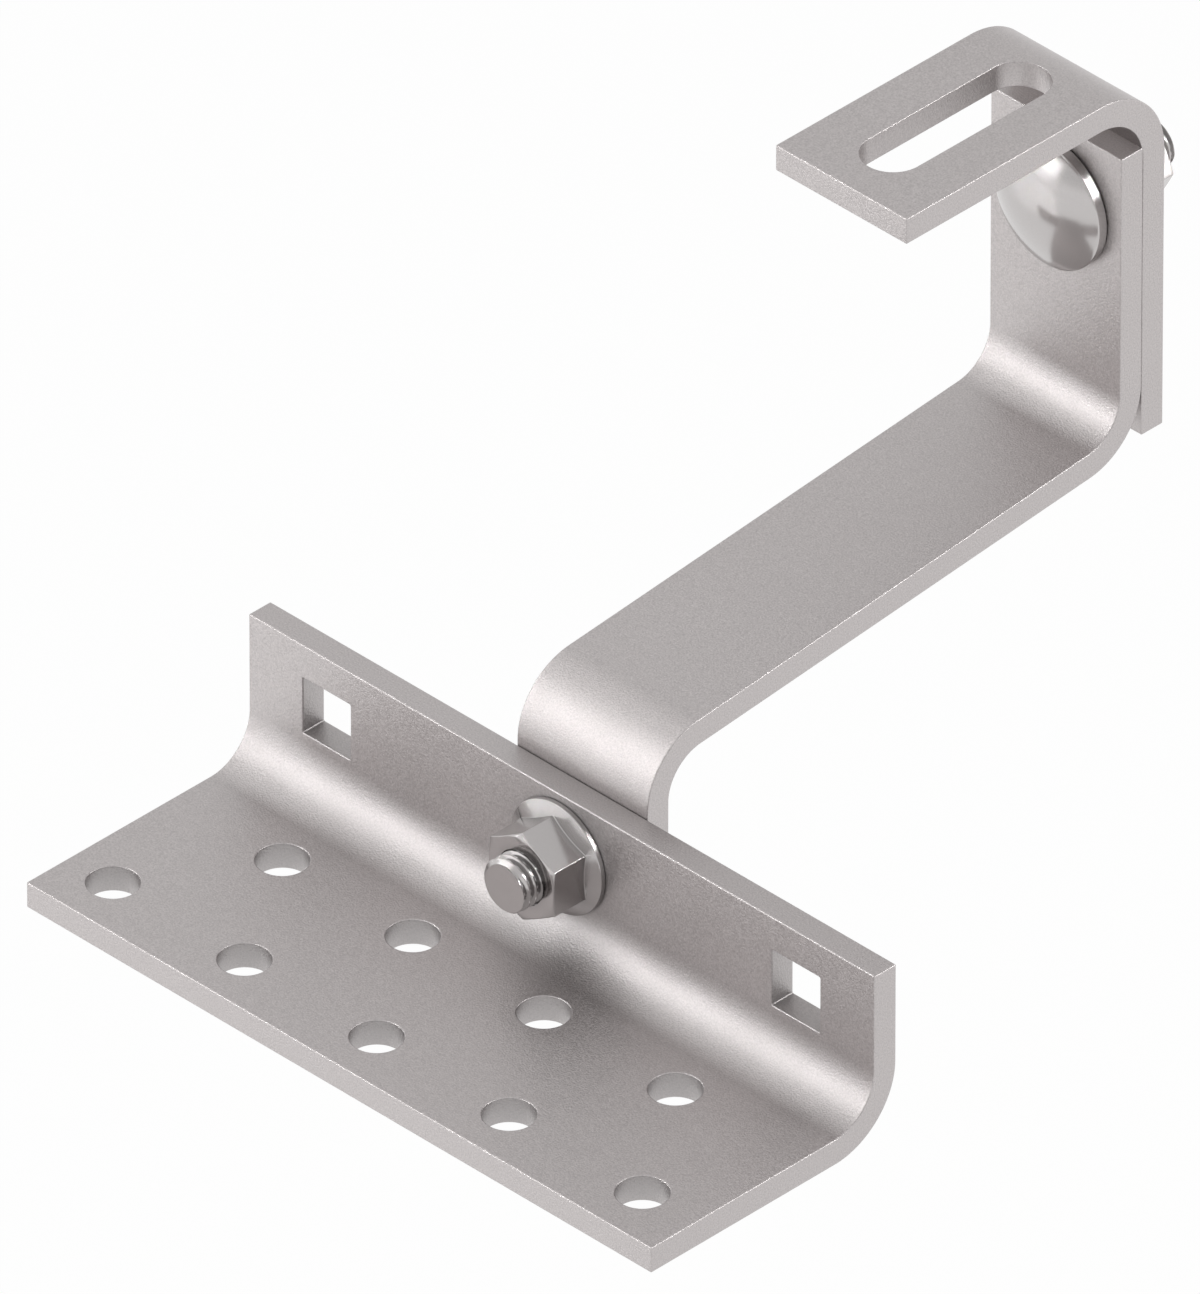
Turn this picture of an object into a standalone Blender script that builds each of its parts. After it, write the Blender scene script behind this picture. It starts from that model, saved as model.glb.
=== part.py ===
"""Solar roof hook, adjustable in height, in bent stainless steel.

A base plate is screwed to the rafter. A flat bar bent twice, the hook arm, is
bolted behind its standing leg and reaches out over the roof tile. A slotted
L bracket bolted to the arm's upper end carries the rail. Each joint is clamped
by a carriage bolt and a flange nut.

Metres, +Z up, X along the base plate, +Y from the eaves side towards the rail.
The origin is the middle of the base plate's flat underside.
"""
import math

import bmesh
import bpy
from mathutils import Matrix, Vector

# Sheet and clearances
THICKNESS = 0.005            # of the plate and of both bars
EDGE_ROUND = 0.0004          # deburred edges and hole rims
SEAT_GAP = 0.0003            # between pieces that rest on each other
OVERRUN = 0.002              # how far a cutter reaches past the metal

# Base plate
BASE_LENGTH = 0.144
BASE_DEPTH = 0.056
BASE_BEND = 0.009            # inside radius
BOLT_TO_EDGE = 0.012         # from the bolt's axis to the standing leg's upper edge
BOLT_HOLE_MARGIN = 0.018     # from the outer square holes to the plate's ends
SCREW_HOLE = 0.009
FRONT_ROW_COUNT = 5
FRONT_ROW_EDGE = 0.010       # from the plate's front edge
FRONT_ROW_LEFT = 0.010       # from the plate's left end to the first hole
FRONT_ROW_RIGHT = 0.012      # from the last hole to the plate's right end
REAR_ROW_COUNT = 4
REAR_ROW_BEFORE_BEND = 0.008
REAR_ROW_LEFT = 0.025
REAR_ROW_RIGHT = 0.0284

# Hook arm
BAR_WIDTH = 0.030
ARM_BEND = 0.008
ARM_SLOPE = math.radians(5.0)
ARM_REACH = 0.109            # from the front of one upright to the front of the other
ARM_UPPER_LEG = 0.047        # straight length above the upper bend
ARM_END_DISTANCE = 0.015     # from a bolt's axis to the bar's end
HEAD_TO_BEND = 0.001         # between the lower bolt's head and the lower bend

# Top bracket
BRACKET_BEND = 0.010
BRACKET_DEPTH = 0.060
BRACKET_HEIGHT = 0.070
ARM_END_CLEARANCE = 0.0002   # between the arm's upper end and the bracket's bend
RAIL_SLOT_WIDTH = 0.011
RAIL_SLOT_FRONT = 0.0065     # from the lying leg's free end to the slot
RAIL_SLOT_REAR = 0.0135      # from the slot to the standing leg's rear face
HEIGHT_SLOT_EDGE = 0.0082    # from the standing leg's free end to the slot

# Carriage bolt
SHANK = 0.0098
SHANK_CHAMFER = 0.0006
THREAD_BEYOND_NUT = 0.0037
HEAD_WIDTH = 0.0240
HEAD_RIM = 0.0017
HEAD_DOME = 0.0034           # rise of the dome over the rim
HEAD_EDGE = 0.0002
NECK_WIDTH = 0.0104
NECK_LENGTH = 0.0062
NECK_CORNER = 0.0006
NECK_CLEARANCE = 0.0003      # on each side of the neck in its square hole

# Flange nut
NUT_FLATS = 0.0150
NUT_HEIGHT = 0.0088
NUT_CHAMFER = 0.0004         # depth of the turned chamfer at the hexagon's corners
NUT_FACE_INSET = 0.0002      # from the flats to the flat ring that the chamfer leaves
FLANGE_LEDGE = 0.00184       # of the flange past the hexagon's corners
FLANGE_SLOPE = math.radians(19.0)
FLANGE_RIM_ROUND = 0.0003
FLANGE_RIM_HEIGHT = 0.0007   # from the seat to the middle of the rim
FLANGE_RIM_UNDERCUT = math.radians(60.0)  # how far the rim's round turns under
FLANGE_SEAT_INSET = 0.0013   # from the rim to the edge of the flat seat
FLANGE_TO_BEND = 0.0001      # clearance of the seat's edge over the plate's bend
THREAD_CLEARANCE = 0.0003    # between bolt and nut, where the thread turns
COUNTERSINK = 0.0004

# Finishes
PLATE_COLOUR = (0.54, 0.51, 0.50)
PLATE_ROUGHNESS = 0.45
FASTENER_COLOUR = (0.58, 0.57, 0.56)
FASTENER_ROUGHNESS = 0.16

# Facets of the round forms
BEND_STEPS = 12
HOLE_SIDES = 32
TURNED_SIDES = 48
DOME_STEPS = 7
EDGE_STEPS = 2
RIM_STEPS = 5
SHARP_ANGLE = math.radians(30.0)
MERGE_DISTANCE = 0.000002    # between points that are the same point


def bend_run_in(inside_radius):
    """How far into a bend its inside has come forward by the seat gap."""
    return math.sqrt(inside_radius**2 - (inside_radius - SEAT_GAP) ** 2)


# What follows from the sizes above
square_hole = NECK_WIDTH + 2 * NECK_CLEARANCE
hexagon_radius = NUT_FLATS / 2 / math.cos(math.pi / 6)
flange_radius = hexagon_radius + FLANGE_LEDGE
seat_radius = flange_radius - FLANGE_SEAT_INSET
shank_length = 2 * THICKNESS + 3 * SEAT_GAP + NUT_HEIGHT + THREAD_BEYOND_NUT

flat_depth = BASE_DEPTH - THICKNESS - BASE_BEND
flat_top = THICKNESS + BASE_BEND
lower_axis = flat_top - bend_run_in(BASE_BEND) + seat_radius + FLANGE_TO_BEND
base_height = lower_axis + BOLT_TO_EDGE

arm_middle_radius = ARM_BEND + THICKNESS / 2
arm_bend_reach = arm_middle_radius * (1 - math.sin(ARM_SLOPE))
arm_bend_rise = arm_middle_radius * math.cos(ARM_SLOPE)
arm_run = (ARM_REACH - 2 * arm_bend_reach) / math.cos(ARM_SLOPE)
arm_lower_leg = ARM_END_DISTANCE + HEAD_WIDTH / 2 + HEAD_TO_BEND
arm_rise = (
    arm_lower_leg
    + 2 * arm_bend_rise
    + arm_run * math.sin(ARM_SLOPE)
    + ARM_UPPER_LEG
    - 2 * ARM_END_DISTANCE
)
upper_axis = lower_axis + arm_rise

arm_end_room = BRACKET_BEND - bend_run_in(BRACKET_BEND) + ARM_END_CLEARANCE
axis_to_bracket_top = ARM_END_DISTANCE + arm_end_room + THICKNESS
slot_end_over_axis = square_hole / 2 + NECK_WIDTH / 2 + NECK_CLEARANCE
height_slot_end = BRACKET_HEIGHT - axis_to_bracket_top + slot_end_over_axis
bracket_foot = upper_axis + axis_to_bracket_top - BRACKET_HEIGHT

plate_rear = BASE_DEPTH - flat_depth / 2
arm_front = plate_rear + SEAT_GAP
bracket_front = arm_front + ARM_REACH + THICKNESS + SEAT_GAP


def clear_scene():
    """Starts from an empty scene."""
    for old in list(bpy.data.objects):
        bpy.data.objects.remove(old, do_unlink=True)


def steel(name, colour, roughness):
    """A stainless steel finish."""
    material = bpy.data.materials.new(name)
    material.use_nodes = True
    shader = material.node_tree.nodes["Principled BSDF"]
    shader.inputs["Base Color"].default_value = (*colour, 1.0)
    shader.inputs["Metallic"].default_value = 1.0
    shader.inputs["Roughness"].default_value = roughness
    return material


def new_object(name, bm, material=None):
    """Turns a bmesh into an object of the scene."""
    mesh = bpy.data.meshes.new(name)
    bmesh.ops.recalc_face_normals(bm, faces=bm.faces)
    bm.to_mesh(mesh)
    bm.free()
    mesh.shade_smooth()
    if material:
        mesh.materials.append(material)
    item = bpy.data.objects.new(name, mesh)
    bpy.context.collection.objects.link(item)
    return item


def place(item, parent, location, rotation=(0, 0, 0)):
    """Hangs an object on its parent, at a place in the parent's frame."""
    item.parent = parent
    item.location = location
    item.rotation_euler = rotation


def bent_outline(start, heading, straights, turns, inside_radius):
    """Edge view of a bar bent to shape, as a closed outline in the YZ plane.

    start is the middle of the bar's first end and heading its first direction.
    Each straight but the last is followed by a turn, positive to the left.
    """
    half = THICKNESS / 2
    middle_radius = inside_radius + half
    point = Vector(start)
    left, right = [], []

    def mark(at, direction):
        side = Vector((-math.sin(direction), math.cos(direction)))
        left.append(at + side * half)
        right.append(at - side * half)

    mark(point, heading)
    for straight, turn in zip(straights, [*turns, 0]):
        point = point + Vector((math.cos(heading), math.sin(heading))) * straight
        mark(point, heading)
        if not turn:
            continue
        inward = math.copysign(1, turn)
        side = Vector((-math.sin(heading), math.cos(heading))) * inward
        centre = point + side * middle_radius
        for step in range(1, BEND_STEPS + 1):
            direction = heading + turn * step / BEND_STEPS
            side = Vector((-math.sin(direction), math.cos(direction))) * inward
            point = centre - side * middle_radius
            mark(point, direction)
        heading += turn
    return left + right[::-1]


def bar_from_outline(name, outline, width, material):
    """Extrudes an outline in the YZ plane to a bar that lies centred on X = 0."""
    bm = bmesh.new()
    near = [bm.verts.new((-width / 2, y, z)) for y, z in outline]
    face = bm.faces.new(near)
    grown = bmesh.ops.extrude_face_region(bm, geom=[face])["geom"]
    far = [part for part in grown if isinstance(part, bmesh.types.BMVert)]
    bmesh.ops.translate(bm, verts=far, vec=(width, 0, 0))
    return new_object(name, bm, material)


def outline_prism(bm, outline, depth, matrix):
    """Adds a prism over a flat outline, centred on the matrix's XY plane."""
    ring = [bm.verts.new((x, y, -depth / 2)) for x, y in outline]
    face = bm.faces.new(ring)
    grown = bmesh.ops.extrude_face_region(bm, geom=[face])["geom"]
    lifted = [part for part in grown if isinstance(part, bmesh.types.BMVert)]
    bmesh.ops.translate(bm, verts=lifted, vec=(0, 0, depth))
    bmesh.ops.transform(bm, verts=ring + lifted, matrix=matrix)


def round_outline(diameter, sides=HOLE_SIDES):
    """A round hole, or with six sides a hexagon across its corners."""
    angles = [2 * math.pi * step / sides for step in range(sides)]
    return [(diameter / 2 * math.cos(a), diameter / 2 * math.sin(a)) for a in angles]


def square_outline(width):
    """A square hole."""
    half = width / 2
    return [(-half, -half), (half, -half), (half, half), (-half, half)]


def slot_outline(width, length):
    """A slot with round ends, its length along Y."""
    radius = width / 2
    reach = length / 2 - radius
    steps = HOLE_SIDES // 2
    points = []
    for end in (1, -1):
        for step in range(steps + 1):
            angle = math.pi * step / steps
            across = radius * math.cos(angle)
            along = reach + radius * math.sin(angle)
            points.append((end * across, end * along))
    return points


def punch(target, name, holes):
    """Cuts holes through a bar. Each hole is an outline and its frame on the bar."""
    bm = bmesh.new()
    for outline, frame in holes:
        outline_prism(bm, outline, THICKNESS + 2 * OVERRUN, frame)
    cutter = new_object(name, bm)
    cutter.parent = target
    cutter.hide_render = True
    cutter.display_type = "WIRE"
    combine(target, cutter, "DIFFERENCE")


def round_edges(target):
    """Breaks the sharp edges, as tumbling leaves them."""
    bevel = target.modifiers.new("edges", "BEVEL")
    bevel.width = EDGE_ROUND
    bevel.segments = EDGE_STEPS
    bevel.limit_method = "ANGLE"
    bevel.angle_limit = SHARP_ANGLE
    bevel.harden_normals = True


def lying_frame(x, y, z):
    """A hole's frame on a lying leg, its own Y along the bar's Y."""
    return Matrix.Translation((x, y, z))


def standing_frame(x, y, z):
    """A hole's frame on a standing leg, its own Y upright."""
    return Matrix.Translation((x, y, z)) @ Matrix.Rotation(math.pi / 2, 4, "X")


def turned(profile, name, material):
    """Turns a profile of (radius, height) about Z to a closed body."""
    bm = bmesh.new()
    line = [bm.verts.new((radius, 0, height)) for radius, height in profile]
    edges = [bm.edges.new(pair) for pair in zip(line, line[1:])]
    bmesh.ops.spin(
        bm,
        geom=line + edges,
        axis=(0, 0, 1),
        cent=(0, 0, 0),
        angle=2 * math.pi,
        steps=TURNED_SIDES,
        use_duplicate=False,
    )
    bmesh.ops.remove_doubles(bm, verts=bm.verts, dist=MERGE_DISTANCE)
    return new_object(name, bm, material)


def arc(centre, radius, start, end, steps):
    """Points on an arc in (radius, height), from one angle to another."""
    angles = [start + (end - start) * step / steps for step in range(steps + 1)]
    return [(centre[0] + radius * math.cos(a), centre[1] + radius * math.sin(a)) for a in angles]


def combine(target, other, operation):
    """Joins another body to this one, keeps what both share, or cuts it away."""
    step = target.modifiers.new(operation.lower(), "BOOLEAN")
    step.operation = operation
    step.solver = "EXACT"
    step.object = other


def finished_mesh(target, helpers, name):
    """Applies the modifiers, removes the helpers and returns the mesh alone."""
    graph = bpy.context.evaluated_depsgraph_get()
    mesh = bpy.data.meshes.new_from_object(target.evaluated_get(graph))
    mesh.name = name
    mesh.shade_smooth()
    mesh.set_sharp_from_angle(angle=SHARP_ANGLE)
    for item in (target, *helpers):
        bpy.data.objects.remove(item, do_unlink=True)
    return mesh


def base_plate(material):
    """L-shaped plate: the lying leg is screwed down, the standing leg takes the arm."""
    standing = base_height - flat_top
    start = (-flat_depth / 2, THICKNESS / 2)
    outline = bent_outline(start, 0, [flat_depth, standing], [math.pi / 2], BASE_BEND)
    plate = bar_from_outline("base_plate", outline, BASE_LENGTH, material)

    front_row = FRONT_ROW_EDGE - flat_depth / 2
    rear_row = flat_depth / 2 - REAR_ROW_BEFORE_BEND
    holes = []
    for count, left, right, y in (
        (FRONT_ROW_COUNT, FRONT_ROW_LEFT, FRONT_ROW_RIGHT, front_row),
        (REAR_ROW_COUNT, REAR_ROW_LEFT, REAR_ROW_RIGHT, rear_row),
    ):
        pitch = (BASE_LENGTH - left - right) / (count - 1)
        for index in range(count):
            x = left + index * pitch - BASE_LENGTH / 2
            holes.append((round_outline(SCREW_HOLE), lying_frame(x, y, THICKNESS / 2)))
    for side in (-1, 0, 1):
        x = side * (BASE_LENGTH / 2 - BOLT_HOLE_MARGIN)
        frame = standing_frame(x, plate_rear - THICKNESS / 2, lower_axis)
        holes.append((square_outline(square_hole), frame))
    punch(plate, "base_plate_punch", holes)
    round_edges(plate)
    return plate


def hook_arm(material):
    """Flat bar bent twice. Its origin is on the lower bolt's axis, on its front face."""
    turn = math.pi / 2 - ARM_SLOPE
    start = (THICKNESS / 2, -ARM_END_DISTANCE)
    straights = [arm_lower_leg, arm_run, ARM_UPPER_LEG]
    outline = bent_outline(start, math.pi / 2, straights, [-turn, turn], ARM_BEND)
    arm = bar_from_outline("hook_arm", outline, BAR_WIDTH, material)
    lower = standing_frame(0, THICKNESS / 2, 0)
    upper = standing_frame(0, ARM_REACH + THICKNESS / 2, arm_rise)
    square = square_outline(square_hole)
    punch(arm, "hook_arm_punch", [(square, lower), (square, upper)])
    round_edges(arm)
    return arm


def top_bracket(material):
    """Slotted L bracket. Its origin is at the foot of its standing leg, on the front face."""
    outside_radius = BRACKET_BEND + THICKNESS
    start = (THICKNESS / 2, 0)
    straights = [BRACKET_HEIGHT - outside_radius, BRACKET_DEPTH - outside_radius]
    outline = bent_outline(start, math.pi / 2, straights, [math.pi / 2], BRACKET_BEND)
    bracket = bar_from_outline("top_bracket", outline, BAR_WIDTH, material)

    rail_slot_start = THICKNESS - BRACKET_DEPTH + RAIL_SLOT_FRONT
    rail_slot_end = THICKNESS - RAIL_SLOT_REAR
    rail_slot = slot_outline(RAIL_SLOT_WIDTH, rail_slot_end - rail_slot_start)
    rail_frame = lying_frame(0, (rail_slot_start + rail_slot_end) / 2, BRACKET_HEIGHT - THICKNESS / 2)

    height_slot = slot_outline(square_hole, height_slot_end - HEIGHT_SLOT_EDGE)
    height_frame = standing_frame(0, THICKNESS / 2, (HEIGHT_SLOT_EDGE + height_slot_end) / 2)
    punch(bracket, "top_bracket_punch", [(rail_slot, rail_frame), (height_slot, height_frame)])
    round_edges(bracket)
    return bracket


def bolt_mesh(material):
    """Carriage bolt, its head's seat at the origin and its shank along -Z."""
    head_radius = HEAD_WIDTH / 2
    shank_radius = SHANK / 2
    dome_radius = (head_radius**2 + HEAD_DOME**2) / (2 * HEAD_DOME)
    dome_spread = math.asin(head_radius / dome_radius)
    dome_centre = (0, HEAD_RIM + HEAD_DOME - dome_radius)
    dome = arc(dome_centre, dome_radius, math.pi / 2, math.pi / 2 - dome_spread, DOME_STEPS)
    profile = [
        *dome,
        (head_radius, HEAD_EDGE),
        (head_radius - HEAD_EDGE, 0),
        (shank_radius, 0),
        (shank_radius, SHANK_CHAMFER - shank_length),
        (shank_radius - SHANK_CHAMFER, -shank_length),
        (0, -shank_length),
    ]
    body = turned(profile, "bolt_body", material)

    neck_top = HEAD_RIM / 2
    neck_frame = lying_frame(0, 0, (neck_top - NECK_LENGTH) / 2)
    neck_bm = bmesh.new()
    outline_prism(neck_bm, square_outline(NECK_WIDTH), neck_top + NECK_LENGTH, neck_frame)
    neck = new_object("bolt_neck", neck_bm, material)
    corners = neck.modifiers.new("corners", "BEVEL")
    corners.width = NECK_CORNER
    corners.segments = EDGE_STEPS
    combine(body, neck, "UNION")
    return finished_mesh(body, [neck], "carriage_bolt")


def nut_mesh(material):
    """Flange nut, its seat at the origin and its hexagon towards +Z."""
    bore_radius = SHANK / 2 + THREAD_CLEARANCE
    rim_centre = (flange_radius - FLANGE_RIM_ROUND, FLANGE_RIM_HEIGHT)
    rim = arc(rim_centre, FLANGE_RIM_ROUND, math.pi / 2 - FLANGE_SLOPE, -FLANGE_RIM_UNDERCUT, RIM_STEPS)
    rim_radius, rim_height = rim[0]
    cone_radius = (bore_radius + NUT_FLATS / 2) / 2
    cone_height = rim_height + (rim_radius - cone_radius) * math.tan(FLANGE_SLOPE)
    flange_profile = [(0, cone_height), (cone_radius, cone_height), *rim, (seat_radius, 0), (0, 0)]
    flange = turned(flange_profile, "nut_flange", material)

    hexagon_bm = bmesh.new()
    hexagon = round_outline(2 * hexagon_radius, sides=6)
    middle = lying_frame(0, 0, (FLANGE_RIM_HEIGHT + NUT_HEIGHT) / 2)
    outline_prism(hexagon_bm, hexagon, NUT_HEIGHT - FLANGE_RIM_HEIGHT, middle)
    nut = new_object("nut_hexagon", hexagon_bm, material)

    face_radius = NUT_FLATS / 2 - NUT_FACE_INSET
    chamfer_slope = NUT_CHAMFER / (hexagon_radius - face_radius)
    wide = hexagon_radius + OVERRUN
    chamfer_foot = NUT_HEIGHT - chamfer_slope * (wide - face_radius)
    envelope_profile = [
        (0, NUT_HEIGHT),
        (face_radius, NUT_HEIGHT),
        (wide, chamfer_foot),
        (wide, -OVERRUN),
        (0, -OVERRUN),
    ]
    envelope = turned(envelope_profile, "nut_envelope", material)

    bore_profile = [
        (0, NUT_HEIGHT + OVERRUN),
        (bore_radius + COUNTERSINK + OVERRUN, NUT_HEIGHT + OVERRUN),
        (bore_radius, NUT_HEIGHT - COUNTERSINK),
        (bore_radius, COUNTERSINK),
        (bore_radius + COUNTERSINK + OVERRUN, -OVERRUN),
        (0, -OVERRUN),
    ]
    bore = turned(bore_profile, "nut_bore", material)

    combine(nut, envelope, "INTERSECT")
    combine(nut, flange, "UNION")
    combine(nut, bore, "DIFFERENCE")
    return finished_mesh(nut, [envelope, flange, bore], "flange_nut")


def fastener(name, mesh):
    """One more copy of a bolt or a nut, with a steel of its own."""
    item = bpy.data.objects.new(name, mesh)
    bpy.context.collection.objects.link(item)
    item.material_slots[0].link = "OBJECT"
    item.material_slots[0].material = steel(f"{name}_steel", FASTENER_COLOUR, FASTENER_ROUGHNESS)
    return item


clear_scene()
hook = bpy.data.objects.new("roof_hook", None)
bpy.context.collection.objects.link(hook)

plate = base_plate(steel("base_plate_steel", PLATE_COLOUR, PLATE_ROUGHNESS))
arm = hook_arm(steel("hook_arm_steel", PLATE_COLOUR, PLATE_ROUGHNESS))
bracket = top_bracket(steel("top_bracket_steel", PLATE_COLOUR, PLATE_ROUGHNESS))
place(plate, hook, (0, 0, 0))
place(arm, hook, (0, arm_front, lower_axis))
place(bracket, hook, (0, bracket_front, bracket_foot))

bolt = bolt_mesh(steel("bolt_steel", FASTENER_COLOUR, FASTENER_ROUGHNESS))
nut = nut_mesh(steel("nut_steel", FASTENER_COLOUR, FASTENER_ROUGHNESS))
towards_front = (math.pi / 2, 0, 0)
towards_rear = (-math.pi / 2, 0, 0)
corner_up = (math.pi / 2, math.pi / 6, 0)

# Lower joint: the head sits behind the arm and the nut on the base plate.
head_seat = arm_front + THICKNESS + SEAT_GAP
nut_seat = plate_rear - THICKNESS - SEAT_GAP
place(fastener("base_bolt", bolt), hook, (0, head_seat, lower_axis), towards_rear)
place(fastener("base_nut", nut), hook, (0, nut_seat, lower_axis), corner_up)

# Upper joint: the head sits before the arm and the nut behind the bracket.
head_seat = arm_front + ARM_REACH - SEAT_GAP
nut_seat = bracket_front + THICKNESS + SEAT_GAP
place(fastener("bracket_bolt", bolt), hook, (0, head_seat, upper_axis), towards_front)
place(fastener("bracket_nut", nut), hook, (0, nut_seat, upper_axis), towards_rear)
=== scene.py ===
"""Solar roof hook in satin stainless steel, bolted together, in a plain white studio.

Metres, +Z up, X along the base plate, +Y from the base plate towards the rail bracket.
"""

import math

import bmesh
import bpy
from mathutils import Euler, Matrix, Vector


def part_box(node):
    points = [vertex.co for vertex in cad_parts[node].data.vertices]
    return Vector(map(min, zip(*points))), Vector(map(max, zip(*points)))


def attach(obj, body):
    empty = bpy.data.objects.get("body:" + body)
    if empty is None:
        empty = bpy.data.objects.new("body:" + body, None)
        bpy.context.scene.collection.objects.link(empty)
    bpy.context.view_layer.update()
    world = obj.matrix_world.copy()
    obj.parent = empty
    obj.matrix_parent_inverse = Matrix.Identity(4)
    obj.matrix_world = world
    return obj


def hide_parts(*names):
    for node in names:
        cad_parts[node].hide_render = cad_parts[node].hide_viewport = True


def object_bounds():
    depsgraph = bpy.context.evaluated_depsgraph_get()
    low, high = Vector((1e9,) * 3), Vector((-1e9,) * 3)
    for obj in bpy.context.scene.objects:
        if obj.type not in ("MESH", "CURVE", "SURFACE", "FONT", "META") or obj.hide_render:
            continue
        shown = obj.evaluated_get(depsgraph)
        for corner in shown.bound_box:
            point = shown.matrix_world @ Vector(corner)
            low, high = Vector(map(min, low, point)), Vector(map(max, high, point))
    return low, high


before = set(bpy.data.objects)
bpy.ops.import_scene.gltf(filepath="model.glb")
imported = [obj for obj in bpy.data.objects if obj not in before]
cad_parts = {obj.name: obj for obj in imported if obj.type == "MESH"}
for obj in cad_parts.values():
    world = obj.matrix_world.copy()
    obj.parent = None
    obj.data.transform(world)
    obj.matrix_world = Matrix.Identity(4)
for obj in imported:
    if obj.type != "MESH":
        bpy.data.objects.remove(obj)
cad_lowest, cad_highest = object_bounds()

# Camera. An isometric view: equal parts from the right, from the front and from above,
# through a lens so long that parallel edges stay nearly parallel. Its scale and aim
# spread the perspective that is left evenly over the hook.
LENS_MM = 1500.0
SENSOR_MM = 36.0
PICTURE_HEIGHT = 0.21012
LOOK_AT = Vector((0.00007, 0.03923, 0.05787))
FROM_DIRECTION = Vector((1.0, -1.0, 1.0)).normalized()
NEAR_LIMIT_SHARE = 0.1
FAR_LIMIT_SHARE = 2.0

camera_data = bpy.data.cameras.new("camera")
camera_data.sensor_width = SENSOR_MM
camera_data.lens = LENS_MM
camera_distance = PICTURE_HEIGHT * LENS_MM / SENSOR_MM
camera_data.clip_start = camera_distance * NEAR_LIMIT_SHARE
camera_data.clip_end = camera_distance * FAR_LIMIT_SHARE
camera = bpy.data.objects.new("camera", camera_data)
camera.location = LOOK_AT + FROM_DIRECTION * camera_distance
camera.rotation_mode = "QUATERNION"
camera.rotation_quaternion = (-FROM_DIRECTION).to_track_quat("-Z", "Y")
bpy.context.scene.collection.objects.link(camera)
bpy.context.scene.camera = camera
bpy.context.scene.view_settings.view_transform = "Standard"

# Studio. The hook hangs over a wide white floor between pale grey walls. A large soft box
# stands at its left and front, a lower one beside it fills in below, and two smaller ones
# stand high at its left and at its right and rear.
FLOOR_DROP = 0.60
FLOOR_SIZE = 8.0
FLOOR_COLOUR = (0.86, 0.86, 0.86, 1.0)
FLOOR_WHITE_SHARE = 0.95
WHITE = (1.0, 1.0, 1.0, 1.0)
WALL_COLOUR = (0.77, 0.77, 0.77, 1.0)
WALLS_FROM = -0.05
WALLS_TO = 0.05
LAMP_DISTANCE = 1.0
# The large box is two lamps in one place. Only the first's light goes from steel to steel.
LAMPS = (
    # name, where it stands as seen from the hook, size, power, whether the hook shades it,
    # whether the steel passes its light on
    ("key_lamp", (-0.577, -0.69, 0.42), 0.85, 1.24, True, True),
    ("key_glaze", (-0.577, -0.69, 0.42), 0.85, 1.75, True, False),
    ("fill_lamp", (-0.69, -0.705, -0.12), 1.00, 0.93, True, False),
    ("high_lamp", (-0.71, 0.0, 0.71), 0.50, 0.36, True, False),
    ("rim_lamp", (0.690, 0.577, 0.435), 0.42, 2.30, False, False),
)

floor_mesh = bpy.data.meshes.new("floor")
floor_bm = bmesh.new()
bmesh.ops.create_grid(floor_bm, x_segments=1, y_segments=1, size=FLOOR_SIZE / 2)
floor_bm.to_mesh(floor_mesh)
floor_bm.free()
floor = bpy.data.objects.new("floor", floor_mesh)
floor.location = (LOOK_AT.x, LOOK_AT.y, cad_lowest.z - FLOOR_DROP)
bpy.context.scene.collection.objects.link(floor)

# The floor keeps a trace of the hook's shadow and is otherwise white, to the camera, in
# metal and through glass.
floor_paint = bpy.data.materials.new("floor_paint")
floor_paint.use_nodes = True
tree = floor_paint.node_tree
tree.nodes.clear()
path = tree.nodes.new("ShaderNodeLightPath")
mirrored = tree.nodes.new("ShaderNodeMath")
mirrored.operation = "MAXIMUM"
tree.links.new(path.outputs["Is Camera Ray"], mirrored.inputs[0])
tree.links.new(path.outputs["Is Glossy Ray"], mirrored.inputs[1])
seen = tree.nodes.new("ShaderNodeMath")
seen.operation = "MAXIMUM"
tree.links.new(mirrored.outputs[0], seen.inputs[0])
tree.links.new(path.outputs["Is Transmission Ray"], seen.inputs[1])
share = tree.nodes.new("ShaderNodeMath")
share.operation = "MULTIPLY"
share.inputs[1].default_value = FLOOR_WHITE_SHARE
tree.links.new(seen.outputs[0], share.inputs[0])
matt = tree.nodes.new("ShaderNodeBsdfDiffuse")
matt.inputs["Color"].default_value = FLOOR_COLOUR
glow = tree.nodes.new("ShaderNodeEmission")
glow.inputs["Color"].default_value = WHITE
mix = tree.nodes.new("ShaderNodeMixShader")
output = tree.nodes.new("ShaderNodeOutputMaterial")
tree.links.new(share.outputs[0], mix.inputs[0])
tree.links.new(matt.outputs[0], mix.inputs[1])
tree.links.new(glow.outputs[0], mix.inputs[2])
tree.links.new(mix.outputs[0], output.inputs["Surface"])
floor_mesh.materials.append(floor_paint)

# The walls turn white towards the floor, so that no line shows where they meet.
world = bpy.data.worlds.new("studio")
world.use_nodes = True
bpy.context.scene.world = world
tree = world.node_tree
tree.nodes.clear()
place = tree.nodes.new("ShaderNodeTexCoord")
parts = tree.nodes.new("ShaderNodeSeparateXYZ")
tree.links.new(place.outputs["Generated"], parts.inputs[0])
rise = tree.nodes.new("ShaderNodeMapRange")
rise.interpolation_type = "SMOOTHSTEP"
rise.inputs["From Min"].default_value = WALLS_FROM
rise.inputs["From Max"].default_value = WALLS_TO
tree.links.new(parts.outputs["Z"], rise.inputs["Value"])
walls = tree.nodes.new("ShaderNodeMix")
walls.data_type = "RGBA"
walls.inputs["A"].default_value = WHITE
walls.inputs["B"].default_value = WALL_COLOUR
tree.links.new(rise.outputs["Result"], walls.inputs["Factor"])
backdrop = tree.nodes.new("ShaderNodeBackground")
tree.links.new(walls.outputs["Result"], backdrop.inputs["Color"])
output = tree.nodes.new("ShaderNodeOutputWorld")
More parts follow.
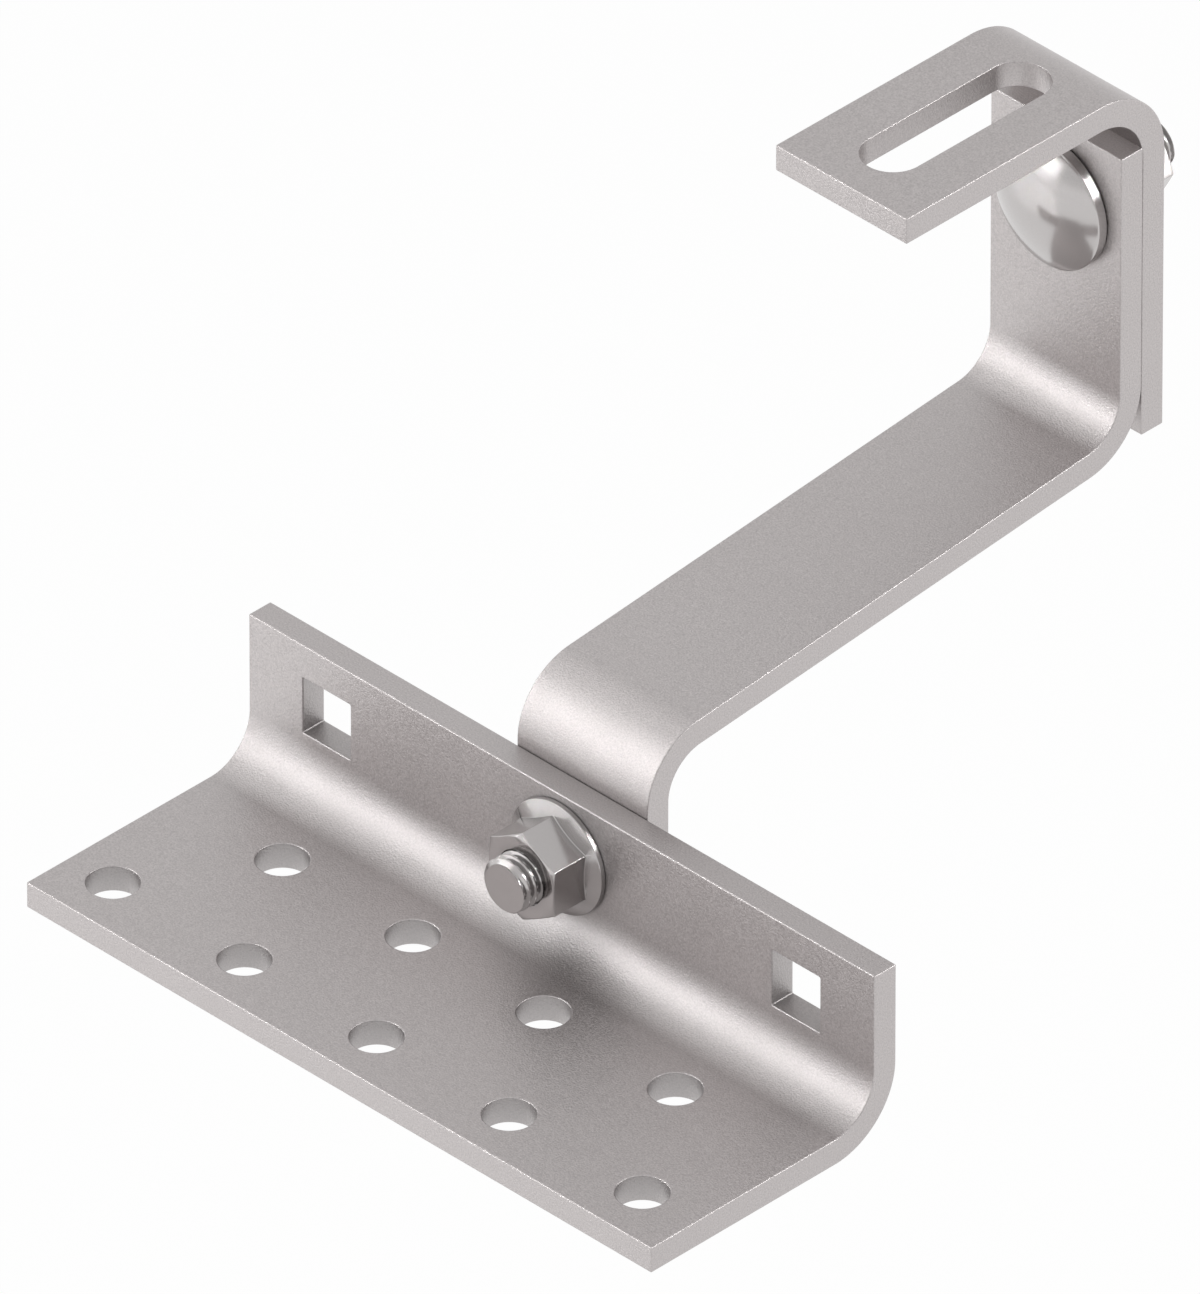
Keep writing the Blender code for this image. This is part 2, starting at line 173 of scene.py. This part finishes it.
tree.links.new(backdrop.outputs[0], output.inputs["Surface"])

for name, direction, size, power, shaded, passed_on in LAMPS:
    lamp_data = bpy.data.lights.new(name, "AREA")
    lamp_data.shape = "SQUARE"
    lamp_data.size = size
    lamp_data.energy = power
    lamp_data.use_shadow = shaded
    if not passed_on:
        lamp_data.cycles.max_bounces = 0
        lamp_data.cycles.use_multiple_importance_sampling = False
    lamp = bpy.data.objects.new(name, lamp_data)
    towards = Vector(direction).normalized()
    lamp.location = LOOK_AT + towards * LAMP_DISTANCE
    lamp.rotation_mode = "QUATERNION"
    lamp.rotation_quaternion = (-towards).to_track_quat("-Z", "Y")
    bpy.context.scene.collection.objects.link(lamp)


# Base plate. A rectangle of 5 mm stainless sheet, punched with two rows of round holes
# for wood screws and three square ones for carriage bolts, bent to an L on a press brake
# and tumbled, which leaves a fine grain and soft edges. It is screwed to the rafter.
THICKNESS = 0.005
EDGE_ROUND = 0.00026
CORNER_ROUND = 0.00025
OVERRUN = 0.002
BASE_BEND = 0.009
SQUARE_HOLE = 0.011
BOLT_HOLE_MARGIN = 0.018
BOLT_TO_EDGE = 0.012
SCREW_HOLE = 0.009
SCREW_ROWS = (
    # holes, distance of the row from the front edge, of its first hole from the left
    # end of the plate and of its last hole from the right end
    (5, 0.010, 0.010, 0.012),
    (4, 0.034, 0.025, 0.0284),
)
# Clamped faces stand apart by a gap in the solids. Here half of it is closed from each side.
SEAT_GAP = 0.0003
SEAT_PLAY = 0.00002
BEND_STEPS = 32
HOLE_STEPS = 64
CORNER_STEPS = 4
EDGE_STEPS = 3
SHARP_ANGLE = math.radians(30.0)
PLATE_COLOUR = (0.618, 0.583, 0.579, 1.0)
PLATE_SHADE = (0.466, 0.439, 0.436, 1.0)
PLATE_ROUGHNESS = 0.42
GRAIN_SIZE = 0.00030
GRAIN_DEPTH = 0.000065
GRAIN_DETAIL = 2.0
CLOUD_GRAINS = 40
CLOUD_DETAIL = 3.0
# The middle of a noise, which is spread over the whole range of what it drives.
NOISE_LOW = 0.3
NOISE_HIGH = 0.7
# How far the roughness strays, as shares of it, from one cloud and one grain to the next.
CLOUD_WEAR_SHARE = 0.05
GRAIN_WEAR_SHARE = 0.20
# Painted shade: a dark grey mixed into the steel's colour by a share, in hollows, under parts and
# between them, as far as ambient occlusion reaches.
PAINTED_SHADE_COLOUR = (0.250, 0.250, 0.250, 1.0)
PAINTED_SHADE_REACH = 0.012
PAINTED_SHADE_SHARE = 0.72
EDGE_COLOUR = (0.660, 0.640, 0.630, 1.0)
EDGE_SHADE = (0.600, 0.580, 0.570, 1.0)
EDGE_ROUGHNESS = 0.26
EDGE_GRAIN_DEPTH = 0.000020
FLAT_FACE_WEIGHT = 100


def steel_material(name, light, shade, roughness, grain, painted_shading):
    """Stainless steel with a fine grain of some size and depth.

    Hollows, out to some reach, get a share of painted shade: a dark grey mixed into the colour where
    ambient occlusion finds the steel closed in.
    """
    material = bpy.data.materials.new(name)
    material.use_nodes = True
    tree = material.node_tree
    shader = tree.nodes["Principled BSDF"]
    shader.inputs["Metallic"].default_value = 1.0
    place = tree.nodes.new("ShaderNodeTexCoord")

    def noise(size, detail):
        node = tree.nodes.new("ShaderNodeTexNoise")
        node.inputs["Scale"].default_value = 1 / size
        node.inputs["Detail"].default_value = detail
        tree.links.new(place.outputs["Object"], node.inputs["Vector"])
        return node.outputs["Fac"]

    def spread(value, low, high, start=NOISE_LOW, stop=NOISE_HIGH):
        node = tree.nodes.new("ShaderNodeMapRange")
        node.inputs["From Min"].default_value = start
        node.inputs["From Max"].default_value = stop
        node.inputs["To Min"].default_value = low
        node.inputs["To Max"].default_value = high
        tree.links.new(value, node.inputs["Value"])
        return node.outputs["Result"]

    def blend(first, second, share):
        node = tree.nodes.new("ShaderNodeMix")
        node.data_type = "RGBA"
        for colour, socket in ((first, "A"), (second, "B")):
            if isinstance(colour, tuple):
                node.inputs[socket].default_value = colour
            else:
                tree.links.new(colour, node.inputs[socket])
        tree.links.new(share, node.inputs["Factor"])
        return node.outputs["Result"]

    grain_size, grain_depth = grain
    shading_share, shading_reach = painted_shading
    fine = noise(grain_size, GRAIN_DETAIL)
    clouds = noise(grain_size * CLOUD_GRAINS, CLOUD_DETAIL)
    # Painted shade: ambient occlusion darkens the colour towards a dark grey where the steel is closed
    # in.
    openness = tree.nodes.new("ShaderNodeAmbientOcclusion")
    openness.inputs["Distance"].default_value = shading_reach
    steel = blend(shade, light, spread(fine, 0.0, 1.0))
    painted_shade_mask = spread(openness.outputs["AO"], shading_share, 0.0, start=0.0, stop=1.0)
    tree.links.new(blend(steel, PAINTED_SHADE_COLOUR, painted_shade_mask), shader.inputs["Base Color"])
    worn = tree.nodes.new("ShaderNodeMath")
    worn.operation = "MULTIPLY"
    cloud_low = roughness * (1 - CLOUD_WEAR_SHARE)
    cloud_high = roughness * (1 + CLOUD_WEAR_SHARE)
    tree.links.new(spread(clouds, cloud_low, cloud_high), worn.inputs[0])
    tree.links.new(spread(fine, 1 - GRAIN_WEAR_SHARE, 1 + GRAIN_WEAR_SHARE), worn.inputs[1])
    tree.links.new(worn.outputs[0], shader.inputs["Roughness"])
    bump = tree.nodes.new("ShaderNodeBump")
    bump.inputs["Distance"].default_value = grain_depth
    tree.links.new(fine, bump.inputs["Height"])
    tree.links.new(bump.outputs["Normal"], shader.inputs["Normal"])
    return material


# Stands an outline in the YZ plane, with its depth along X.
ALONG_X = Matrix(((0, 0, 1, 0), (1, 0, 0, 0), (0, 1, 0, 0), (0, 0, 0, 1)))


def bent_edge_view(start, heading, straights, turns, inside_radius):
    """A bent bar seen from its edge, as a closed outline in the YZ plane.

    start is the middle of the bar's first end. Turns are positive to the left.
    """
    half = THICKNESS / 2
    middle_radius = inside_radius + half
    point = Vector(start)
    left, right = [], []

    def mark(at, direction):
        side = Vector((-math.sin(direction), math.cos(direction)))
        left.append(at + side * half)
        right.append(at - side * half)

    mark(point, heading)
    for straight, turn in zip(straights, [*turns, 0]):
        point = point + Vector((math.cos(heading), math.sin(heading))) * straight
        mark(point, heading)
        if not turn:
            continue
        inward = math.copysign(1, turn)
        side = Vector((-math.sin(heading), math.cos(heading))) * inward
        centre = point + side * middle_radius
        for step in range(1, BEND_STEPS + 1):
            direction = heading + turn * step / BEND_STEPS
            side = Vector((-math.sin(direction), math.cos(direction))) * inward
            point = centre - side * middle_radius
            mark(point, direction)
        heading += turn
    return left + right[::-1]


def add_prism(bm, outline, depth, matrix):
    """A prism over a flat outline, centred on the XY plane of the matrix."""
    ring = [bm.verts.new((x, y, -depth / 2)) for x, y in outline]
    face = bm.faces.new(ring)
    grown = bmesh.ops.extrude_face_region(bm, geom=[face])["geom"]
    lifted = [part for part in grown if isinstance(part, bmesh.types.BMVert)]
    bmesh.ops.translate(bm, verts=lifted, vec=(0, 0, depth))
    bmesh.ops.transform(bm, verts=ring + lifted, matrix=matrix)


def round_outline(diameter, steps=HOLE_STEPS):
    """A round hole, or a hexagon across its corners."""
    angles = [2 * math.pi * step / steps for step in range(steps)]
    return [(diameter / 2 * math.cos(a), diameter / 2 * math.sin(a)) for a in angles]


def square_outline(width, corner):
    """A square with rounded corners."""
    reach = width / 2 - corner
    points = []
    for quarter, (x, y) in enumerate(((1, 1), (-1, 1), (-1, -1), (1, -1))):
        for step in range(CORNER_STEPS + 1):
            angle = math.pi / 2 * (quarter + step / CORNER_STEPS)
            points.append((x * reach + corner * math.cos(angle), y * reach + corner * math.sin(angle)))
    return points


def slot_outline(width, length):
    """A slot with round ends, its length along Y."""
    radius = width / 2
    reach = length / 2 - radius
    half_turn = HOLE_STEPS // 2
    points = []
    for end in (1, -1):
        for step in range(half_turn + 1):
            angle = math.pi * step / half_turn
            points.append((end * radius * math.cos(angle), end * (reach + radius * math.sin(angle))))
    return points


def lying(x, y, z):
    """The place of a hole in a lying leg."""
    return Matrix.Translation((x, y, z))


def standing(x, y, z):
    """The place of a hole in a standing leg, its own Y upright."""
    return Matrix.Translation((x, y, z)) @ Matrix.Rotation(math.pi / 2, 4, "X")


def as_object(name, bm):
    """A closed body as an object, its faces pointing out."""
    mesh = bpy.data.meshes.new(name)
    bmesh.ops.recalc_face_normals(bm, faces=bm.faces)
    bm.to_mesh(mesh)
    bm.free()
    item = bpy.data.objects.new(name, mesh)
    bpy.context.scene.collection.objects.link(item)
    return item


def combine(target, other, operation):
    """Joins another body to this one, keeps what both share, or cuts it away."""
    step = target.modifiers.new(operation.lower(), "BOOLEAN")
    step.operation = operation
    step.solver = "EXACT"
    step.object = other


def round_edges(target, width):
    """Breaks the sharp edges, which shine more than the faces."""
    bevel = target.modifiers.new("edges", "BEVEL")
    bevel.width = width
    bevel.segments = EDGE_STEPS
    bevel.limit_method = "ANGLE"
    bevel.angle_limit = SHARP_ANGLE
    bevel.use_clamp_overlap = False
    bevel.material = 1


def settle(target, helpers, material, edge_material):
    """Applies the modifiers, removes the helpers and shades flats flat and rounds smooth."""
    graph = bpy.context.evaluated_depsgraph_get()
    mesh = bpy.data.meshes.new_from_object(target.evaluated_get(graph))
    target.modifiers.clear()
    target.data = mesh
    for item in helpers:
        bpy.data.objects.remove(item, do_unlink=True)
    mesh.materials.clear()
    mesh.materials.append(material)
    mesh.materials.append(edge_material)
    mesh.shade_smooth()
    mesh.set_sharp_from_angle(angle=SHARP_ANGLE)
    weighted = target.modifiers.new("flat_faces_stay_flat", "WEIGHTED_NORMAL")
    weighted.keep_sharp = True
    weighted.weight = FLAT_FACE_WEIGHT


def bent_bar(name, node, outline, width, holes, material):
    """A bar bent to an outline, punched and with its edges broken. It stands for a node."""
    bm = bmesh.new()
    add_prism(bm, outline, width, ALONG_X)
    bar = as_object(name, bm)
    bm = bmesh.new()
    for hole, place in holes:
        add_prism(bm, hole, THICKNESS + 2 * OVERRUN, place)
    punch = as_object(f"{name}_punch", bm)
    combine(bar, punch, "DIFFERENCE")
    round_edges(bar, EDGE_ROUND)
    settle(bar, [punch], material, edge_steel)
    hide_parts(node)
    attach(bar, "root")


closing = (SEAT_GAP - SEAT_PLAY) / 2
plate_low, plate_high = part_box("base_plate")
plate_rear = plate_high.y + closing
flat_depth = plate_rear - plate_low.y - THICKNESS - BASE_BEND
standing_height = plate_high.z - THICKNESS - BASE_BEND
lower_axis = plate_high.z - BOLT_TO_EDGE
plate_outline = bent_edge_view(
    (plate_low.y, THICKNESS / 2), 0, [flat_depth, standing_height], [math.pi / 2], BASE_BEND
)
plate_holes = []
for count, row, left, right in SCREW_ROWS:
    pitch = (plate_high.x - plate_low.x - left - right) / (count - 1)
    for index in range(count):
        x = plate_low.x + left + index * pitch
        plate_holes.append((round_outline(SCREW_HOLE), lying(x, plate_low.y + row, THICKNESS / 2)))
for side in (-1, 0, 1):
    x = side * (plate_high.x - BOLT_HOLE_MARGIN)
    middle = standing(x, plate_rear - THICKNESS / 2, lower_axis)
    plate_holes.append((square_outline(SQUARE_HOLE, CORNER_ROUND), middle))
grain = (GRAIN_SIZE, GRAIN_DEPTH)
# The painted shade in the hollows of the plate and of its edges.
painted_shading = (PAINTED_SHADE_SHARE, PAINTED_SHADE_REACH)
plate_steel = steel_material(
    "tumbled_plate", PLATE_COLOUR, PLATE_SHADE, PLATE_ROUGHNESS, grain, painted_shading
)
edge_grain = (GRAIN_SIZE, EDGE_GRAIN_DEPTH)
edge_steel = steel_material(
    "bright_edge", EDGE_COLOUR, EDGE_SHADE, EDGE_ROUGHNESS, edge_grain, painted_shading
)
plate_length = plate_high.x - plate_low.x
bent_bar("bent_base_plate", "base_plate", plate_outline, plate_length, plate_holes, plate_steel)


# Hook arm. Flat bar of 30 by 5 mm with a square hole punched near each end and two bends
# of 85 degrees, so that it climbs behind the base plate, runs out over the tile on a
# slight slope and climbs again to the bracket. Same steel and same tumbling.
ARM_BEND = 0.008
ARM_SLOPE = math.radians(5.0)
ARM_UPPER_LEG = 0.047
ARM_END_DISTANCE = 0.015
BAR_ROUGHNESS = 0.40
# A smaller share of painted shade in the hollows of the arm and the bracket.
BAR_PAINTED_SHADE_SHARE = 0.08

arm_low, arm_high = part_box("hook_arm")
bar_width = arm_high.x - arm_low.x
arm_middle_radius = ARM_BEND + THICKNESS / 2
arm_bend_reach = arm_middle_radius * (1 - math.sin(ARM_SLOPE))
arm_bend_rise = arm_middle_radius * math.cos(ARM_SLOPE)
arm_front = arm_low.y - closing
arm_rear = arm_high.y + closing
arm_reach = arm_rear - arm_front - THICKNESS
arm_run = (arm_reach - 2 * arm_bend_reach) / math.cos(ARM_SLOPE)
arm_height = arm_high.z - arm_low.z
arm_lower_leg = arm_height - 2 * arm_bend_rise - arm_run * math.sin(ARM_SLOPE) - ARM_UPPER_LEG
upper_axis = arm_high.z - ARM_END_DISTANCE
turn = math.pi / 2 - ARM_SLOPE
arm_outline = bent_edge_view(
    (arm_front + THICKNESS / 2, arm_low.z),
    math.pi / 2,
    [arm_lower_leg, arm_run, ARM_UPPER_LEG],
    [-turn, turn],
    ARM_BEND,
)
arm_holes = [
    (square_outline(SQUARE_HOLE, CORNER_ROUND), standing(0, arm_front + THICKNESS / 2, lower_axis)),
    (square_outline(SQUARE_HOLE, CORNER_ROUND), standing(0, arm_rear - THICKNESS / 2, upper_axis)),
]
arm_steel = steel_material(
    "tumbled_arm", PLATE_COLOUR, PLATE_SHADE, BAR_ROUGHNESS, grain, (BAR_PAINTED_SHADE_SHARE, PAINTED_SHADE_REACH)
)
bent_bar("bent_hook_arm", "hook_arm", arm_outline, bar_width, arm_holes, arm_steel)


# Rail bracket. A short piece of the same bar, punched and bent square. Its lying leg has
# a long slot in which the rail is bolted, and its standing leg another, by which it is
# bolted behind the arm at the height that is wanted.
BRACKET_BEND = 0.010
RAIL_SLOT_WIDTH = 0.011
RAIL_SLOT_FRONT = 0.0065
RAIL_SLOT_REAR = 0.0135
HEIGHT_SLOT_EDGE = 0.0082
HEIGHT_SLOT_OVER_AXIS = 0.011

bracket_low, bracket_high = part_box("top_bracket")
bracket_rear = bracket_high.y - closing
bracket_outline = bent_edge_view(
    (bracket_rear - THICKNESS / 2, bracket_low.z),
    math.pi / 2,
    [
        bracket_high.z - bracket_low.z - THICKNESS - BRACKET_BEND,
        bracket_rear - bracket_low.y - THICKNESS - BRACKET_BEND,
    ],
    [math.pi / 2],
    BRACKET_BEND,
)
rail_slot_front = bracket_low.y + RAIL_SLOT_FRONT
rail_slot_rear = bracket_high.y - RAIL_SLOT_REAR
height_slot_low = bracket_low.z + HEIGHT_SLOT_EDGE
height_slot_high = upper_axis + HEIGHT_SLOT_OVER_AXIS
bracket_holes = [
    (
        slot_outline(RAIL_SLOT_WIDTH, rail_slot_rear - rail_slot_front),
        lying(0, (rail_slot_front + rail_slot_rear) / 2, bracket_high.z - THICKNESS / 2),
    ),
    (
        slot_outline(SQUARE_HOLE, height_slot_high - height_slot_low),
        standing(0, bracket_rear - THICKNESS / 2, (height_slot_low + height_slot_high) / 2),
    ),
]
bracket_steel = steel_material(
    "tumbled_bracket", PLATE_COLOUR, PLATE_SHADE, BAR_ROUGHNESS, grain, (BAR_PAINTED_SHADE_SHARE, PAINTED_SHADE_REACH)
)
bent_bar("bent_top_bracket", "top_bracket", bracket_outline, bar_width, bracket_holes, bracket_steel)


# Carriage bolts. Cold-headed from bright stainless wire: a low dome on a thin rim, a
# square neck that keeps the bolt from turning, and a rolled M10 thread with a chamfered
# end. One clamps the arm to the base plate from behind, the other the bracket.
PITCH = 0.0015
CREST_RADIUS = 0.00490
ROOT_RADIUS = 0.00408
CREST_SHARE = 0.14
ROOT_SHARE = 0.20
FLANK_ROUND_SHARE = 0.35
THREAD_STEPS = 96
THREAD_ROWS = 16
END_CHAMFER = 0.0003
HEAD_RADIUS = 0.0120
HEAD_DOME = 0.0034
HEAD_EDGE = 0.00025
HEAD_EDGE_ANGLE = math.radians(20.0)
DOME_STEPS = 24
NECK_WIDTH = 0.0104
NECK_LENGTH = 0.0062
NECK_CORNER = 0.0006
TURNED_STEPS = 128
MERGE_DISTANCE = 0.000002
FASTENER_COLOUR = (0.552, 0.530, 0.525, 1.0)
FASTENER_SHADE = (0.522, 0.501, 0.496, 1.0)
FASTENER_ROUGHNESS = 0.16
FASTENER_EDGE_ROUGHNESS = 0.12
FASTENER_GRAIN = 0.00022
FASTENER_GRAIN_DEPTH = 0.000002
# Painted shade in the thread's roots and the other hollows of bolts and nuts, over a short reach.
FASTENER_PAINTED_SHADE_SHARE = 0.80
FASTENER_PAINTED_SHADE_REACH = 0.0022


def thread_radius(height, angle, growth=0.0):
    """The thread's surface: crests and roots are flats, and the flanks between run out round."""
    turns = (height / PITCH - angle / (2 * math.pi)) % 1.0
    from_crest = abs(turns - 0.5) * 2
    flank = (from_crest - CREST_SHARE) / (1 - CREST_SHARE - ROOT_SHARE)
    depth = min(max(flank, 0.0), 1.0)
    eased = depth * depth * (3 - 2 * depth)
    depth = eased * FLANK_ROUND_SHARE + depth * (1 - FLANK_ROUND_SHARE)
    return CREST_RADIUS + (ROOT_RADIUS - CREST_RADIUS) * depth + growth


def threaded_rod(name, low, high, growth=0.0, chamfer=0.0):
    """A closed threaded rod along Z, with its lower end chamfered."""
    rows = round((high - low) / PITCH * THREAD_ROWS)
    bm = bmesh.new()
    rings = []
    for row in range(rows + 1):
        height = low + (high - low) * row / rows
        ring = []
        for step in range(THREAD_STEPS):
            angle = 2 * math.pi * step / THREAD_STEPS
            radius = thread_radius(height, angle, growth)
            if chamfer:
                radius = min(radius, CREST_RADIUS - chamfer + (height - low))
            ring.append(bm.verts.new((radius * math.cos(angle), radius * math.sin(angle), height)))
        rings.append(ring)
    for ring, above in zip(rings, rings[1:]):
        for step in range(THREAD_STEPS):
            after = (step + 1) % THREAD_STEPS
            bm.faces.new((ring[step], ring[after], above[after], above[step]))
    bm.faces.new(rings[0][::-1])
    bm.faces.new(rings[-1])
    return as_object(name, bm)


def turned(name, profile):
    """Turns a profile of (radius, height) about Z to a closed body."""
    bm = bmesh.new()
    line = [bm.verts.new((radius, 0, height)) for radius, height in profile]
    edges = [bm.edges.new(pair) for pair in zip(line, line[1:])]
    bmesh.ops.spin(
        bm,
        geom=line + edges,
        axis=(0, 0, 1),
        cent=(0, 0, 0),
        angle=2 * math.pi,
        steps=TURNED_STEPS,
        use_duplicate=False,
    )
    bmesh.ops.remove_doubles(bm, verts=bm.verts, dist=MERGE_DISTANCE)
    return as_object(name, bm)


def arc(centre, radius, start, end, steps):
    """Points on an arc in (radius, height), from one angle to another."""
    angles = [start + (end - start) * step / steps for step in range(steps + 1)]
    return [(centre[0] + radius * math.cos(a), centre[1] + radius * math.sin(a)) for a in angles]


def carriage_bolt(name, node, seat, turn, rim, length):
    """A bolt whose head seats at a place, its shank along its own -Z."""
    dome_radius = (HEAD_RADIUS**2 + HEAD_DOME**2) / (2 * HEAD_DOME)
    spread = math.asin(HEAD_RADIUS / dome_radius)
    dome_centre = (0, rim + HEAD_DOME - dome_radius)
    dome = arc(dome_centre, dome_radius, math.pi / 2, math.pi / 2 - spread, DOME_STEPS)
    profile = [*dome, (HEAD_RADIUS, HEAD_EDGE), (HEAD_RADIUS - HEAD_EDGE, 0), (0, 0)]
    head = turned(name, profile)
    head_edges = head.modifiers.new("rim", "BEVEL")
    head_edges.width = HEAD_EDGE
    head_edges.segments = EDGE_STEPS
    head_edges.material = 1
    head_edges.limit_method = "ANGLE"
    head_edges.angle_limit = HEAD_EDGE_ANGLE

    bm = bmesh.new()
    neck_top = rim / 2
    middle = Matrix.Translation((0, 0, (neck_top - NECK_LENGTH) / 2))
    add_prism(bm, square_outline(NECK_WIDTH, NECK_CORNER), neck_top + NECK_LENGTH, middle)
    neck = as_object(f"{name}_neck", bm)
    rod = threaded_rod(f"{name}_rod", -length, 0.0, chamfer=END_CHAMFER)
    combine(head, neck, "UNION")
    combine(head, rod, "UNION")
    settle(head, [neck, rod], fastener_steel, fastener_edge)
    head.location = seat
    head.rotation_euler = turn
    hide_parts(node)
    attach(head, "root")


fastener_grain = (FASTENER_GRAIN, FASTENER_GRAIN_DEPTH)
# The painted shade in the hollows of bolts and nuts.
fastener_painted_shading = (FASTENER_PAINTED_SHADE_SHARE, FASTENER_PAINTED_SHADE_REACH)
fastener_steel = steel_material(
    "bright_fastener",
    FASTENER_COLOUR,
    FASTENER_SHADE,
    FASTENER_ROUGHNESS,
    fastener_grain,
    fastener_painted_shading,
)
fastener_edge = steel_material(
    "bright_fastener_edge",
    EDGE_COLOUR,
    EDGE_SHADE,
    FASTENER_EDGE_ROUGHNESS,
    fastener_grain,
    fastener_painted_shading,
)
TO_FRONT = (math.pi / 2, 0, 0)
TO_REAR = (-math.pi / 2, 0, 0)
base_bolt_low, base_bolt_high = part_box("base_bolt")
base_seat = arm_front + THICKNESS + SEAT_PLAY
carriage_bolt(
    "threaded_base_bolt",
    "base_bolt",
    (0, base_seat, lower_axis),
    TO_REAR,
    base_bolt_high.y - base_seat - HEAD_DOME,
    base_seat - base_bolt_low.y,
)
bracket_bolt_low, bracket_bolt_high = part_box("bracket_bolt")
bracket_seat = arm_rear - THICKNESS - SEAT_PLAY
carriage_bolt(
    "threaded_bracket_bolt",
    "bracket_bolt",
    (0, bracket_seat, upper_axis),
    TO_FRONT,
    bracket_seat - bracket_bolt_low.y - HEAD_DOME,
    bracket_bolt_high.y - bracket_seat,
)


# Flange nuts. Cold-formed stainless hexagons of 15 mm across the flats, on a conical
# flange with a rolled rim that takes the place of a washer. The outer face is turned to
# a shallow chamfer at the corners, and the thread is cut right through.
NUT_FLATS = 0.0150
NUT_HEIGHT = 0.0090
NUT_CHAMFER = 0.0004
NUT_FACE_INSET = 0.0002
NUT_EDGE = 0.00014
SINK_RADIUS = 0.0051
FLANGE_LEDGE = 0.00184
FLANGE_SLOPE = math.radians(19.0)
FLANGE_RIM_ROUND = 0.00016
FLANGE_RIM_HEIGHT = 0.00086
BEND_PLAY = 0.000015
RIM_STEPS = 8
THREAD_PLAY = 0.00006

hexagon_radius = NUT_FLATS / 2 / math.cos(math.pi / 6)
flange_radius = hexagon_radius + FLANGE_LEDGE


def flange_nut(name, node, seat, turn, thread_shift, neighbour=None):
    """A nut that seats at a place, its hexagon along its own +Z.

    Its flange gives way to a neighbour that rises beside the seat.
    """
    rim_centre = (flange_radius - FLANGE_RIM_ROUND, FLANGE_RIM_HEIGHT)
    rim = arc(rim_centre, FLANGE_RIM_ROUND, math.pi / 2 - FLANGE_SLOPE, 0, RIM_STEPS)
    rim_radius, rim_height = rim[0]
    cone_radius = (CREST_RADIUS + NUT_FLATS / 2) / 2
    cone_height = rim_height + (rim_radius - cone_radius) * math.tan(FLANGE_SLOPE)
    flange = turned(
        f"{name}_flange",
        [(0, cone_height), (cone_radius, cone_height), *rim, (flange_radius, 0), (0, 0)],
    )
    bm = bmesh.new()
    middle = Matrix.Translation((0, 0, (FLANGE_RIM_HEIGHT + NUT_HEIGHT) / 2))
    add_prism(bm, round_outline(2 * hexagon_radius, 6), NUT_HEIGHT - FLANGE_RIM_HEIGHT, middle)
    nut = as_object(name, bm)
    face_radius = NUT_FLATS / 2 - NUT_FACE_INSET
    wide = hexagon_radius + OVERRUN
    chamfer_slope = NUT_CHAMFER / (hexagon_radius - face_radius)
    chamfer_foot = NUT_HEIGHT - chamfer_slope * (wide - face_radius)
    envelope = turned(
        f"{name}_envelope",
        [
            (0, NUT_HEIGHT),
            (face_radius, NUT_HEIGHT),
            (wide, chamfer_foot),
            (wide, -OVERRUN),
            (0, -OVERRUN),
        ],
    )
    sink = turned(
        f"{name}_sink",
        [
            (0, NUT_HEIGHT - SINK_RADIUS),
            (SINK_RADIUS + OVERRUN, NUT_HEIGHT + OVERRUN),
            (0, NUT_HEIGHT + OVERRUN),
        ],
    )
    tap_start = thread_shift - OVERRUN
    tap_end = thread_shift + NUT_HEIGHT + OVERRUN
    tap = threaded_rod(f"{name}_tap", tap_start, tap_end, THREAD_PLAY)
    tap.location.z = -thread_shift
    combine(nut, envelope, "INTERSECT")
    combine(nut, flange, "UNION")
    round_edges(nut, NUT_EDGE)
    combine(nut, sink, "DIFFERENCE")
    combine(nut, tap, "DIFFERENCE")
    helpers = [envelope, flange, sink, tap]
    if neighbour:
        placed = Matrix.Translation(seat) @ Euler(turn).to_matrix().to_4x4()
        neighbour.matrix_world = placed.inverted()
        combine(nut, neighbour, "DIFFERENCE")
        helpers.append(neighbour)
    settle(nut, helpers, fastener_steel, fastener_edge)
    nut.location = seat
    nut.rotation_euler = turn
    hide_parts(node)
    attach(nut, "root")


CORNER_UP = (math.pi / 2, math.pi / 6, 0)
base_nut_seat = plate_rear - THICKNESS - SEAT_PLAY
bm = bmesh.new()
bend_length = 2 * (flange_radius + OVERRUN)
add_prism(bm, plate_outline, bend_length, Matrix.Translation((0, -BEND_PLAY, 0)) @ ALONG_X)
bend = as_object("bend_beside_nut", bm)
flange_nut(
    "threaded_base_nut",
    "base_nut",
    (0, base_nut_seat, lower_axis),
    CORNER_UP,
    base_nut_seat - base_seat,
    bend,
)
bracket_nut_seat = bracket_rear + SEAT_PLAY
flange_nut(
    "threaded_bracket_nut",
    "bracket_nut",
    (0, bracket_nut_seat, upper_axis),
    TO_REAR,
    bracket_seat - bracket_nut_seat,
)
